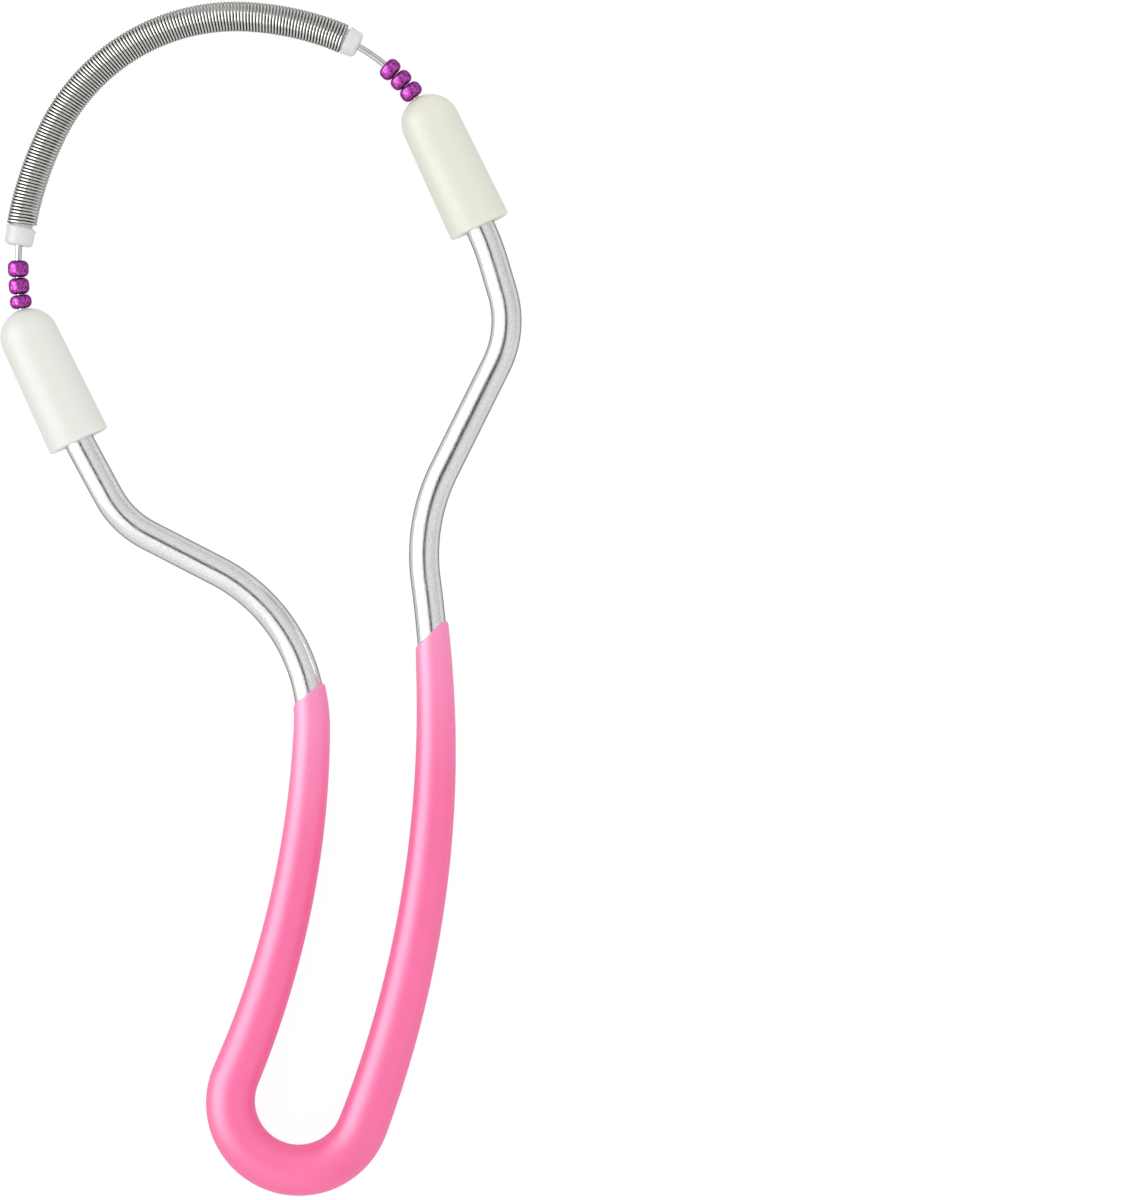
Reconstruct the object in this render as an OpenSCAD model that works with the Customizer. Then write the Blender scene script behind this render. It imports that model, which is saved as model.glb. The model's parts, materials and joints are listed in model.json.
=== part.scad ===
// Facial hair removal spring: a coil spring held in a bow between the arms of a dipped rod handle.
// Millimetres and degrees. The tool lies flat, X to the right, Y from the handle to the spring, Z up.

/* [Rod] */
// Diameter of the bent steel rod.
rod_d = 5; // [4.6:0.1:5.2]
// Length of rod inside each sleeve.
rod_insert = 17; // [14:0.5:17.5]
// Radius of the small bend where the rod enters a sleeve.
entry_radius = 40; // [30:1:50]
// Bend where the rod leaves the left sleeve.
left_entry_bend = 3; // [2:0.5:4]
// Straight below the left sleeve.
left_stub = 8.3; // [7:0.1:10]
// Radius of the left shoulder.
left_shoulder_radius = 15.7; // [14:0.1:18]
// Bend of the left shoulder, towards the right arm.
left_shoulder_bend = 34.3; // [32:0.1:37]
// Straight between the left shoulder and the neck.
left_slope = 13.1; // [11:0.1:15]
// Radius where the left arm turns down into the handle.
left_neck_radius = 28.9; // [26:0.1:32]
// Bend where the left arm turns down into the handle.
left_neck_bend = 64.3; // [62:0.1:66]
// Radius of the handle's long left side.
left_side_radius = 157; // [145:1:170]
// Bend of the handle's long left side.
left_side_bend = 21.6; // [20:0.1:23]
// Radius of the loop at the bottom of the handle.
loop_radius = 11.4; // [10.5:0.1:12.5]
// Bend of the loop at the bottom of the handle.
loop_bend = 182.2; // [180:0.2:184]
// Radius of the handle's long right side.
right_side_radius = 184; // [170:1:198]
// Bend of the handle's long right side.
right_side_bend = 28.8; // [27:0.1:30]
// Radius where the right arm leaves the handle.
right_neck_radius = 31.7; // [28:0.1:35]
// Bend where the right arm leaves the handle.
right_neck_bend = 34.2; // [32:0.1:36]
// Straight of the right arm.
right_slope = 19.6; // [18:0.1:21]
// Radius of the right shoulder.
right_shoulder_radius = 16.6; // [15:0.1:18]
// Bend of the right shoulder, back towards the left arm.
right_shoulder_bend = 43; // [41:0.1:45]
// Straight below the right sleeve.
right_stub = 5.4; // [4:0.1:7]

/* [Grip] */
// Distance along the rod from the left sleeve to the edge of the coat.
coat_left_edge = 59.5; // [57:0.5:64]
// Distance along the rod from the right sleeve to the edge of the coat.
coat_right_edge = 71.5; // [67:0.5:75]
// Slant of both edges, from the tilt of the rod as it was dipped.
coat_slant = 31; // [10:1:35]
// Thickness of the coat at its edges.
coat_top = 0.4; // [0.2:0.05:1]
// Thickness that the coat builds up towards, away from its edges.
coat_full = 2; // [1.2:0.05:2.2]
// Length over which most of the thickness builds up.
coat_growth = 62; // [15:1:80]
// Extra thickness at the middle of the loop, where the wet coat gathered.
coat_drip = 0.16; // [0:0.02:0.3]
// Length to each side of the loop's middle in which the extra thickness fades.
coat_drip_length = 20; // [10:1:30]
// Gap between the coat's inside and the rod.
coat_fit = 0.02; // [0.01:0.01:0.05]

/* [Sleeves] */
// Lean of both sleeves to the left of the Y axis.
sleeve_lean = 25.4; // [23:0.2:28]
// Length of a sleeve over its dome.
sleeve_length = 24; // [23:0.1:26]
// Diameter of a sleeve at its open end.
sleeve_mouth_d = 10.5; // [10:0.1:11.5]
// Diameter of a sleeve where its dome begins.
sleeve_dome_d = 9.8; // [9.4:0.1:10]
// Chamfer of the sleeve's open edge.
sleeve_edge = 0.3; // [0.1:0.1:0.5]
// Gap between the rod and the bore of a sleeve.
sleeve_fit = 0.03; // [0.01:0.01:0.06]
// Gap between the wire and the hole in a sleeve's dome.
dome_hole_fit = 0.2; // [0.1:0.05:0.3]

/* [Wire] */
// Diameter of the core wire.
wire_d = 1.1; // [0.9:0.05:1.2]
// Depth of the hole in each end of the rod that holds the wire.
socket_depth = 6; // [4:0.5:8]
// Gap between the wire and that hole.
socket_fit = 0.02; // [0.01:0.01:0.05]
// Distance from the left sleeve's open end to the start of the wire's bow.
left_lead_at = 18.8; // [18:0.1:19.5]
// Distance from the right sleeve's open end to the start of the wire's bow.
right_lead_at = 20; // [19:0.1:21]
// Radius of the first bend of the bow at each end.
lead_radius = 15; // [13:0.5:18]
// First bend of the bow at the left.
left_lead_bend = 13; // [11:0.5:15]
// First bend of the bow at the right.
right_lead_bend = 6; // [5:0.5:8]
// Bend of the bow under the left beads and cap.
left_run_bend = 26; // [24:0.5:28]
// Radius of the bow along the left of the spring.
left_arch_radius = 61; // [55:1:67]
// Bend of the bow along the left of the spring.
left_arch_bend = 13; // [11:0.5:15]
// Radius of the bow at the top.
top_arch_radius = 34; // [33:0.5:35]
// Bend of the bow at the top.
top_arch_bend = 66.5; // [64:0.5:69]
// Radius of the bow along the right of the spring.
right_arch_radius = 49; // [45:1:53]
// Bend of the bow along the right of the spring.
right_arch_bend = 16; // [14:0.5:18]

/* [Spring] */
// Diameter of the spring wire.
spring_wire_d = 0.48; // [0.45:0.01:0.5]
// Outer diameter of the spring.
spring_d = 5; // [4.8:0.05:5.2]
// Number of turns in each length of the spring. It is as many whole lengths long as the bow has room for.
turns_each = 17; // [14:1:18]
// Gap between neighbouring turns on the inside of the bow, where they are closest.
turn_gap = 0.02; // [0.01:0.01:0.04]

/* [Caps] */
// Length of the left cap's body, outside the spring.
left_cap_length = 3; // [2.2:0.1:3.2]
// Length of the right cap's body, outside the spring.
right_cap_length = 2.4; // [2.2:0.1:3.2]
// Diameter of the left cap's rim, next to the spring.
left_cap_rim_d = 5.2; // [4.8:0.1:5.4]
// Diameter of the right cap's rim, next to the spring.
right_cap_rim_d = 4.9; // [4.8:0.1:5.4]
// How much narrower a cap is at its bead end.
cap_taper = 0.5; // [0.2:0.1:0.8]
// How far the far edge of a cap is rounded.
cap_round = 0.7; // [0.4:0.1:0.8]
// Diameter of the stem inside the spring.
cap_stem_d = 3.8; // [3.4:0.05:3.85]
// Length of the stem, from the cap's rim.
cap_stem_length = 2.4; // [1.5:0.1:3]
// Gap between the wire and a cap's hole.
cap_hole_fit = 0.25; // [0.15:0.05:0.4]
// Stem that shows between the left cap and the spring.
left_cap_gap = 0.36; // [0.1:0.02:0.8]
// Play between the right cap and the spring.
right_cap_gap = 0.12; // [0.08:0.02:0.4]

/* [Beads] */
// Diameter and length of the left bead next to the cap.
left_bead_1_size = [3.5, 2.7]; // [1.8:0.05:4]
// Diameter and length of the middle left bead.
left_bead_2_size = [3.45, 2.65]; // [1.8:0.05:4]
// Diameter and length of the left bead next to the sleeve.
left_bead_3_size = [3.65, 2.2]; // [1.8:0.05:4]
// Diameter and length of the right bead next to the cap.
right_bead_1_size = [3.75, 2.35]; // [1.8:0.05:4]
// Diameter and length of the middle right bead.
right_bead_2_size = [3.7, 2.3]; // [1.8:0.05:4]
// Diameter and length of the right bead next to the sleeve.
right_bead_3_size = [3.8, 2.35]; // [1.8:0.05:4]
// Radius of a bead's rounded edges.
bead_round = 0.85; // [0.5:0.05:0.9]
// Gap between neighbouring beads, and between a bead and its sleeve.
bead_gap = 0.2; // [0.15:0.05:0.4]
// Bare wire between the left beads and the left cap.
left_bare_wire = 2.5; // [1.5:0.1:3]
// Least bare wire between the right beads and the right cap.
least_bare_wire = 1; // [0.5:0.1:2]
// Gap between the wire and a bead's hole.
bead_hole_fit = 0.2; // [0.1:0.05:0.3]

/* [Hidden] */

// Neighbouring stretches of a bent bar differ by this much in diameter, so each joint is a clean shoulder.
rod_shoulder = 0.02;
wire_shoulder = 0.006;
// How far a thinner stretch reaches into its thicker neighbours.
leg_overlap = 0.05;
// How far a cutting shape runs past the face that it cuts.
past = 1;
// The coat is drawn with this many sides round the rod. Its rings are at most this far apart along the rod,
// with at most this angle between them.
coat_sides = 32;
coat_ring_step = 5;
coat_ring_angle = 8;
// Number of rings from each lip of the coat to the end of the slant.
slant_rings = 5;
// Length of the coat's rounded lip, the share of the thickness that is left at its very edge, and the length
// in which the slant of the edge fades out.
coat_lip = 0.6;
coat_lip_share = 0.35;
coat_fade = 7;
// The loop's place among the legs of the rod, counted from 0.
loop_leg = 7;
// The wire can't bend tighter than this under the beads.
least_run_radius = 10;
// Distance between the points along the rod and the wire at which the tool's extent is taken.
sample_step = 2;

steel = [0.82, 0.82, 0.83];
vinyl = [0.97, 0.5, 0.72];
ivory = [0.91, 0.91, 0.87];
nylon = [0.85, 0.85, 0.85];
glass = [0.7, 0.28, 0.66];

// A leg of a path is [length, turn], with a turn to the left positive. A pose is [x, y, heading].
function bend(radius, turn) = [radius * abs(turn) * PI / 180, turn];
function turned(v, a) = [v.x * cos(a) - v.y * sin(a), v.x * sin(a) + v.y * cos(a)];
function leg_radius(leg) = leg.x * 180 / (PI * leg.y);
function leg_step(leg) = leg.y == 0 ? [leg.x, 0] : leg_radius(leg) * [sin(leg.y), 1 - cos(leg.y)];
function after(pose, leg) =
    let (d = turned(leg_step(leg), pose.z))
    [pose.x + d.x, pose.y + d.y, pose.z + leg.y];
function poses(legs, start) = [
    for (i = 0, p = start; i <= len(legs); p = i < len(legs) ? after(p, legs[i]) : p, i = i + 1) p
];
function part_of(leg, s) = [s, leg.y * s / leg.x];
function along(legs, pose, s, i = 0) =
    i == len(legs) - 1 || s <= legs[i].x
        ? after(pose, part_of(legs[i], s))
        : along(legs, after(pose, legs[i]), s - legs[i].x, i + 1);
function path_length(legs, i = 0) = i == len(legs) ? 0 : legs[i].x + path_length(legs, i + 1);

// The rod, from its left end inside the left sleeve to its right end. The last bend makes the sleeves
// parallel.
right_entry_bend = 180 - left_entry_bend - left_shoulder_bend + left_neck_bend + left_side_bend
    - loop_bend - right_side_bend + right_neck_bend - right_shoulder_bend;
rod_legs = [
    [rod_insert, 0],
    bend(entry_radius, left_entry_bend),
    [left_stub, 0],
    bend(left_shoulder_radius, left_shoulder_bend),
    [left_slope, 0],
    bend(left_neck_radius, -left_neck_bend),
    bend(left_side_radius, -left_side_bend),
    bend(loop_radius, loop_bend),
    bend(right_side_radius, right_side_bend),
    bend(right_neck_radius, -right_neck_bend),
    [right_slope, 0],
    bend(right_shoulder_radius, right_shoulder_bend),
    [right_stub, 0],
    bend(entry_radius, right_entry_bend),
    [rod_insert, 0]
];
sleeve_heading = 90 + sleeve_lean;
sleeve_way = [cos(sleeve_heading), sin(sleeve_heading)];
rod_length = path_length(rod_legs);

// Places relative to the middle of the left sleeve's open end.
rod_start = [rod_insert * sleeve_way.x, rod_insert * sleeve_way.y, sleeve_heading - 180];
rod_end = poses(rod_legs, rod_start)[len(rod_legs)];
right_mouth = [rod_end.x, rod_end.y] - rod_insert * sleeve_way;

// The wire's bow runs from the left sleeve's axis to the right sleeve's axis. Its headings are given, and
// the radii of the two runs under the beads follow, so that the bow always reaches both sleeves.
right_run_bend = 180 - left_lead_bend - left_run_bend - left_arch_bend - top_arch_bend
    - right_arch_bend - right_lead_bend;
run_start = after([0, 0, sleeve_heading], bend(lead_radius, -left_lead_bend));
left_run_unit = after([0, 0, run_start.z], bend(1, -left_run_bend));
arch_end = poses([
    bend(left_arch_radius, -left_arch_bend),
    bend(top_arch_radius, -top_arch_bend),
    bend(right_arch_radius, -right_arch_bend)
], [0, 0, left_run_unit.z])[3];
right_run_unit = after([0, 0, arch_end.z], bend(1, -right_run_bend));
lead_out = after([0, 0, right_run_unit.z], bend(lead_radius, -right_lead_bend));
bow_span = right_mouth + (right_lead_at - left_lead_at) * sleeve_way;
rest = [
    bow_span.x - run_start.x - arch_end.x - lead_out.x,
    bow_span.y - run_start.y - arch_end.y - lead_out.y
];
cross_units = left_run_unit.x * right_run_unit.y - left_run_unit.y * right_run_unit.x;
left_run_radius = (rest.x * right_run_unit.y - rest.y * right_run_unit.x) / cross_units;
right_run_radius = (left_run_unit.x * rest.y - left_run_unit.y * rest.x) / cross_units;
assert(min(left_run_radius, right_run_radius) > least_run_radius, "the bow doesn't reach both sleeves");
wire_inset = rod_insert - socket_depth;
wire_start = [wire_inset * sleeve_way.x, wire_inset * sleeve_way.y, sleeve_heading];
wire_legs = [
    [left_lead_at - wire_inset, 0],
    bend(lead_radius, -left_lead_bend),
    bend(left_run_radius, -left_run_bend),
    bend(left_arch_radius, -left_arch_bend),
    bend(top_arch_radius, -top_arch_bend),
    bend(right_arch_radius, -right_arch_bend),
    bend(right_run_radius, -right_run_bend),
    bend(lead_radius, -right_lead_bend),
    [right_lead_at - wire_inset, 0]
];
wire_length = path_length(wire_legs);

// Distances along the wire, from its left end.
left_dome_at = sleeve_length - wire_inset;
left_bead_3_at = left_dome_at + bead_gap + left_bead_3_size.y / 2;
left_bead_2_at = left_bead_3_at + (left_bead_3_size.y + left_bead_2_size.y) / 2 + bead_gap;
left_bead_1_at = left_bead_2_at + (left_bead_2_size.y + left_bead_1_size.y) / 2 + bead_gap;
left_rim_at = left_bead_1_at + left_bead_1_size.y / 2 + left_bare_wire + left_cap_length;
spring_at = left_rim_at + left_cap_gap + spring_wire_d / 2;
spring_r = (spring_d - spring_wire_d) / 2;
spring_pitch = (spring_wire_d + turn_gap) / (1 - spring_r / top_arch_radius);
right_dome_at = wire_length - (sleeve_length - wire_inset);
right_bead_3_at = right_dome_at - bead_gap - right_bead_3_size.y / 2;
right_bead_2_at = right_bead_3_at - (right_bead_3_size.y + right_bead_2_size.y) / 2 - bead_gap;
right_bead_1_at = right_bead_2_at - (right_bead_2_size.y + right_bead_1_size.y) / 2 - bead_gap;
right_beads_end_at = right_bead_1_at - right_bead_1_size.y / 2;
right_cap_room = spring_wire_d / 2 + right_cap_gap + right_cap_length;
spring_room = right_beads_end_at - least_bare_wire - right_cap_room - spring_at;
spring_lengths = floor(spring_room / (turns_each * spring_pitch));
spring_end_at = spring_at + spring_lengths * turns_each * spring_pitch;
right_rim_at = spring_end_at + spring_wire_d / 2 + right_cap_gap;
right_bare_wire = right_beads_end_at - right_rim_at - right_cap_length;
assert(right_bare_wire > bead_gap, "the spring is too long for the bow");

// Distances along the rod, from its left end, and the thickness of the coat there, none beyond its edges.
rod_r = rod_d / 2;
function leg_start(i) = i == 0 ? 0 : leg_start(i - 1) + rod_legs[i - 1].x;
loop_middle_at = leg_start(loop_leg) + rod_legs[loop_leg].x / 2;
coat_from = rod_insert + coat_left_edge;
coat_to = rod_length - rod_insert - coat_right_edge;
function from_edge(s) = min(s - coat_from, coat_to - s);
function lip(d) =
    d >= coat_lip ? 1 : coat_lip_share + (1 - coat_lip_share) * sqrt(1 - pow(1 - d / coat_lip, 2));
function coat_at(s) =
    let (d = from_edge(s), drip = coat_drip * exp(-pow((s - loop_middle_at) / coat_drip_length, 2)))
    d < 0 ? 0 : lip(d) * (coat_full - (coat_full - coat_top) * exp(-d / coat_growth) + drip);

// The origin is below the middle of the whole tool, on the surface that it lies on.
axis_z = sleeve_mouth_d / 2;
rod_track = [for (s = [0:sample_step:rod_length]) concat(along(rod_legs, rod_start, s), rod_r + coat_at(s))];
wire_track = [for (s = [0:sample_step:wire_length]) along(wire_legs, wire_start, s)];
dome_centre = (sleeve_length - sleeve_dome_d / 2) * sleeve_way;
low_x = dome_centre.x - sleeve_dome_d / 2;
high_x = max([for (p = rod_track) p.x + p[3]]);
low_y = min([for (p = rod_track) p.y - p[3]]);
high_y = max([for (p = wire_track) p.y]) + spring_d / 2;
centre = [(low_x + high_x) / 2, (low_y + high_y) / 2];

module place(pose) {
    translate([pose.x - centre.x, pose.y - centre.y, axis_z])
        rotate([0, 0, pose.z])
            children();
}

module straight_leg(leg, d) {
    rotate([0, 90, 0])
        cylinder(d = d, h = leg.x);
}

// A bend, which runs on by the overlap at both ends.
module bent_leg(leg, d, overlap) {
    r = leg_radius(leg);
    extra = overlap * 180 / (PI * r);
    translate([0, r, 0])
        rotate([0, 0, -90 * sign(r) - extra])
            rotate_extrude(angle = leg.y + 2 * extra)
                translate([abs(r), 0])
                    circle(d = d);
}

// A bent bar of round section. Every second leg is a bend, thinner by the shoulder, with its ends inside
// its neighbours.
module bar(legs, start, d, shoulder) {
    p = poses(legs, start);
    for (i = [0:len(legs) - 1])
        place(p[i])
            if (legs[i].y == 0)
                straight_leg(legs[i], d);
            else
                bent_leg(legs[i], d - (i % 2) * shoulder, (i % 2) * leg_overlap);
}

module frame_rod() {
    socket_d = wire_d + 2 * socket_fit;
    color(steel)
        difference() {
            bar(rod_legs, rod_start, rod_d, rod_shoulder);
            place(rod_start)
                translate([-past, 0, 0])
                    rotate([0, 90, 0])
                        cylinder(d = socket_d, h = socket_depth + past + socket_fit);
            place(rod_end)
                translate([-socket_depth - socket_fit, 0, 0])
                    rotate([0, 90, 0])
                        cylinder(d = socket_d, h = socket_depth + past + socket_fit);
        }
}

// The dipped coat: rings along the rod whose radius grows towards the loop.
function smooth(t) = t >= 1 ? 1 : t * t * (3 - 2 * t);
function slant_at(d) = coat_slant * (1 - smooth(d / coat_fade));
function coat_ring(s) =
    let (
        pose = along(rod_legs, rod_start, s),
        r = rod_r + coat_at(s),
        lean = tan(slant_at(from_edge(s)))
    )
    [
        for (i = [0:coat_sides - 1])
            let (a = 360 * i / coat_sides, w = r * cos(a), p = turned([-w * lean, w], pose.z))
            [pose.x + p.x - centre.x, pose.y + p.y - centre.y, axis_z + r * sin(a)]
    ];
edge_rings = concat(
    [0, coat_lip / 6, coat_lip / 2],
    [for (i = [0:slant_rings]) coat_lip + (coat_fade - coat_lip) * i / slant_rings]
);
function ring_count(leg) = max(ceil(leg.x / coat_ring_step), ceil(abs(leg.y) / coat_ring_angle));
coat_stations = concat(
    [for (d = edge_rings) coat_from + d],
    [
        for (i = [0:len(rod_legs) - 1], j = [1:ring_count(rod_legs[i])])
            let (s = leg_start(i) + rod_legs[i].x * j / ring_count(rod_legs[i]))
            if (from_edge(s) > coat_fade + coat_lip) s
    ],
    [for (i = [len(edge_rings) - 1:-1:0]) coat_to - edge_rings[i]]
);

module sweep(rings) {
    n = len(rings[0]);
    m = len(rings);
    sides = [
        for (k = [0:m - 2], i = [0:n - 1])
            let (j = (i + 1) % n)
            each [
                [k * n + i, k * n + j, (k + 1) * n + i],
                [k * n + j, (k + 1) * n + j, (k + 1) * n + i]
            ]
    ];
    first = [for (i = [0:n - 1]) n - 1 - i];
    last = [for (i = [0:n - 1]) (m - 1) * n + i];
    polyhedron(points = [for (r = rings) each r], faces = concat(sides, [first, last]));
}

module handle_grip() {
    color(vinyl)
        difference() {
            sweep([for (s = coat_stations) coat_ring(s)]);
            bar(rod_legs, rod_start, rod_d + 2 * coat_fit, rod_shoulder);
        }
}

// A sleeve with its open end at the pose, and its dome ahead of it.
module sleeve(mouth) {
    cone_length = sleeve_length - sleeve_dome_d / 2 - sleeve_edge;
    place([mouth.x, mouth.y, sleeve_heading])
        rotate([0, 90, 0]) {
            difference() {
                union() {
                    cylinder(d1 = sleeve_mouth_d - 2 * sleeve_edge, d2 = sleeve_mouth_d, h = sleeve_edge);
                    translate([0, 0, sleeve_edge])
                        cylinder(d1 = sleeve_mouth_d, d2 = sleeve_dome_d, h = cone_length);
                    translate([0, 0, sleeve_edge + cone_length])
                        sphere(d = sleeve_dome_d);
                }
                translate([0, 0, -past])
                    cylinder(d = rod_d + 2 * sleeve_fit, h = rod_insert + past + sleeve_fit);
            }
        }
}

module left_sleeve() {
    color(ivory)
        difference() {
            sleeve([0, 0]);
            bar([for (i = [0:2]) wire_legs[i]], wire_start, wire_d + 2 * dome_hole_fit, wire_shoulder);
        }
}

module right_sleeve() {
    last = len(wire_legs) - 1;
    color(ivory)
        difference() {
            sleeve(right_mouth);
            bar(
                [for (i = [last - 2:last]) wire_legs[i]],
                poses(wire_legs, wire_start)[last - 2],
                wire_d + 2 * dome_hole_fit,
                wire_shoulder
            );
        }
}

module core_wire() {
    color(steel)
        bar(wire_legs, wire_start, wire_d, wire_shoulder);
}

// A point beside the wire, outside the bow for a side of 1 and inside it for -1.
function beside(s, side) =
    let (p = along(wire_legs, wire_start, s), d = turned([0, side * spring_r], p.z))
    [p.x + d.x, p.y + d.y];
function seen_from(frame, point) = turned([point.x - frame.x, point.y - frame.y], -frame.z);

// Half a turn from one point beside the wire to the next, over it for a way of 1 and under it for -1.
module half_turn(from, to, way) {
    middle = (from + to) / 2;
    translate([middle.x, middle.y, 0])
        rotate([90, 0, atan2(from.y - to.y, from.x - to.x)])
            rotate_extrude(angle = 180 * way)
                translate([norm(from - to) / 2, 0])
                    circle(d = spring_wire_d - (1 - way) / 2 * wire_shoulder);
}

module spring_length(k) {
    first = spring_at + k * turns_each * spring_pitch;
    frame = along(wire_legs, wire_start, first + turns_each * spring_pitch / 2);
    place(frame)
        for (i = [0:turns_each - 1]) {
            s = first + i * spring_pitch;
            outside = seen_from(frame, beside(s, 1));
            inside = seen_from(frame, beside(s + spring_pitch / 2, -1));
            next = seen_from(frame, beside(s + spring_pitch, 1));
            half_turn(outside, inside, 1);
            half_turn(inside, next, -1);
        }
}

module coil_spring() {
    color(steel)
        for (k = [0:spring_lengths - 1])
            spring_length(k);
}

// A cap along its own X axis: the body is behind the rim at X = 0, and the stem is ahead of it.
module cap(rim_d, length) {
    round_reach = rim_d / 2 - cap_taper / 2 - cap_round;
    ball_at = length - rim_d / 2 + cap_round / 2;
    rotate([0, 90, 0])
        difference() {
            union() {
                intersection() {
                    translate([0, 0, -length])
                        cylinder(d1 = rim_d - cap_taper, d2 = rim_d, h = length);
                    translate([0, 0, -ball_at])
                        sphere(r = norm([round_reach, length - ball_at]));
                }
                cylinder(d = cap_stem_d, h = cap_stem_length);
            }
            translate([0, 0, -length - past])
                cylinder(d = wire_d + 2 * cap_hole_fit, h = length + cap_stem_length + 2 * past);
        }
}

module left_end_cap() {
    color(nylon)
        place(along(wire_legs, wire_start, left_rim_at))
            cap(left_cap_rim_d, left_cap_length);
}

module right_end_cap() {
    color(nylon)
        place(along(wire_legs, wire_start, right_rim_at))
            rotate([0, 0, 180])
                cap(right_cap_rim_d, right_cap_length);
}

// A bead: a short glass tube with rounded edges, strung on the wire at the distance s.
module bead(s, size) {
    flat_r = size.x / 2 - bead_round;
    flat_h = size.y - 2 * bead_round;
    hole_r = wire_d / 2 + bead_hole_fit;
    color(glass)
        place(along(wire_legs, wire_start, s))
            rotate([0, 90, 0])
                difference() {
                    rotate_extrude()
                        union() {
                            translate([0, -size.y / 2])
                                square([flat_r, size.y]);
                            translate([0, -flat_h / 2])
                                square([size.x / 2, flat_h]);
                            for (side = [-1, 1])
                                translate([flat_r, side * flat_h / 2])
                                    intersection() {
                                        circle(r = bead_round);
                                        translate([0, -bead_round])
                                            square(2 * bead_round);
                                    }
                        }
                    translate([0, 0, -size.y])
                        cylinder(r = hole_r, h = 2 * size.y);
                }
}

module left_bead_1() { bead(left_bead_1_at, left_bead_1_size); }
module left_bead_2() { bead(left_bead_2_at, left_bead_2_size); }
module left_bead_3() { bead(left_bead_3_at, left_bead_3_size); }
module right_bead_1() { bead(right_bead_1_at, right_bead_1_size); }
module right_bead_2() { bead(right_bead_2_at, right_bead_2_size); }
module right_bead_3() { bead(right_bead_3_at, right_bead_3_size); }

frame_rod();
handle_grip();
left_sleeve();
right_sleeve();
core_wire();
coil_spring();
left_end_cap();
right_end_cap();
left_bead_1();
left_bead_2();
left_bead_3();
right_bead_1();
right_bead_2();
right_bead_3();
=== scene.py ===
"""Facial hair removal spring: builds the looks of every piece around the fixed frame."""

import json
import math

import bpy
import numpy as np
from mathutils import Matrix, Vector


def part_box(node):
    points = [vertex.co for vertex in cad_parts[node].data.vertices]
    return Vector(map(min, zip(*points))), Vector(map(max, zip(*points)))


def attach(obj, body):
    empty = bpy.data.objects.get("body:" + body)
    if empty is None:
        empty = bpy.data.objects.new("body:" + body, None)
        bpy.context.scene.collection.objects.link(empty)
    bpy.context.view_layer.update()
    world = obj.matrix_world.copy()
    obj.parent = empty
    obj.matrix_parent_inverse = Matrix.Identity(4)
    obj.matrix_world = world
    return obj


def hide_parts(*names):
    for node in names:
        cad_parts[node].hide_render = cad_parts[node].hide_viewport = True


bl_info = {
    "name": "Facial Hair Spring",
    "version": (1, 0, 0),
    "blender": (4, 5, 0),
    "location": "View3D > Sidebar > Hair Spring",
    "description": "Builds a facial hair removal spring, piece by piece",
    "category": "Object",
}

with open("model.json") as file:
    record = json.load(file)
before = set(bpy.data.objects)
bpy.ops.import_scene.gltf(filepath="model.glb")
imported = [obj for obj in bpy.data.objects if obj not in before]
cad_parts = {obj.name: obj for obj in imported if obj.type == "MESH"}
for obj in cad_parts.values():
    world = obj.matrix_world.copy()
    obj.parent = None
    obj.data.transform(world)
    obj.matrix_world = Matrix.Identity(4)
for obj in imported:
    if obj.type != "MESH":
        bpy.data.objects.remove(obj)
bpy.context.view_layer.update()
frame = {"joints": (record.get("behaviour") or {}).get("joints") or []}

MM = 0.001
# Distance between the points of a guide curve, and between the rings of a bent piece.
GUIDE_STEP = 0.25 * MM
RING_STEP = 1.0 * MM
# Name of the attribute that keeps each point's place on the straight piece.
STRAIGHT = "straight"
# Points closer than this are one point.
WELD = 0.002 * MM
SMOOTH_ANGLE = math.radians(40)
# The loop's place among the legs of the rod.
LOOP_LEG = 7
# Share of the coat's thickness that is left at its very edge.
LIP_SHARE = 0.35
# Places of the coat's rings within its rounded lip, as shares of the lip.
LIP_RINGS = (0.0, 0.04, 0.12, 0.25, 0.45, 0.7)
# A face that looks along X by at least this much is the flat end of a bar.
END_FACE = 0.9


def length(name, millimetres, description):
    return bpy.props.FloatProperty(
        name=name, description=description, default=millimetres * MM, unit="LENGTH", precision=5)


def angle(name, degrees, description):
    return bpy.props.FloatProperty(
        name=name, description=description, default=math.radians(degrees), subtype="ANGLE")


def from_screen(red, green, blue):
    """A colour picked on the screen, from 0 to 255, as the linear colour that a shader takes."""
    return [
        ((c / 255 + 0.055) / 1.055) ** 2.4 if c > 10 else c / 255 / 12.92
        for c in (red, green, blue)
    ]


def colour(name, screen, description):
    return bpy.props.FloatVectorProperty(
        name=name, description=description, default=from_screen(*screen),
        subtype="COLOR", min=0, max=1)


def bead_size(name, diameter, bead_length):
    return bpy.props.FloatVectorProperty(
        name=name, description="Diameter and length", size=2,
        default=(diameter * MM, bead_length * MM), unit="LENGTH")


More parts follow.
